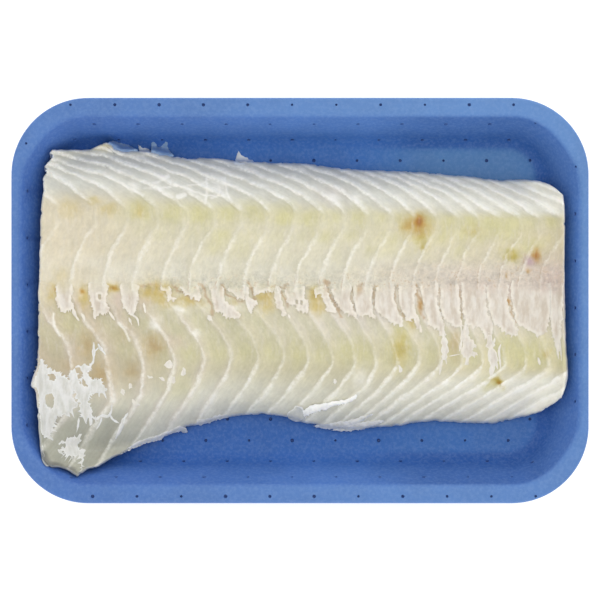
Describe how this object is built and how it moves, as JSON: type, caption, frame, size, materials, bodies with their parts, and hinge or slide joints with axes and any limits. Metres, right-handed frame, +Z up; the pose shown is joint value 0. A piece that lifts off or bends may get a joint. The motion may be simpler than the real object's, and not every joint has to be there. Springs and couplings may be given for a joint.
{
  "type": "raw fish fillet on foam tray",
  "caption": "Raw white fish fillet with flaky muscle segments, lying in a shallow blue foam tray with rounded corners.",
  "frame": {"origin": "centre of the tray's footprint, on the surface that the tray stands on", "axes": "+Z up, +X along the tray from the fillet's thick end to its tail end, +Y across the tray to the back"},
  "size_m": [0.21, 0.1474, 0.0262],
  "materials": {
    "foam": "satin foamed polystyrene skin with small pin holes",
    "flesh": "moist translucent raw fish flesh"
  },
  "bodies": {
    "root": {"tray": "foam", "fillet": "flesh"}
  },
  "joints": []
}
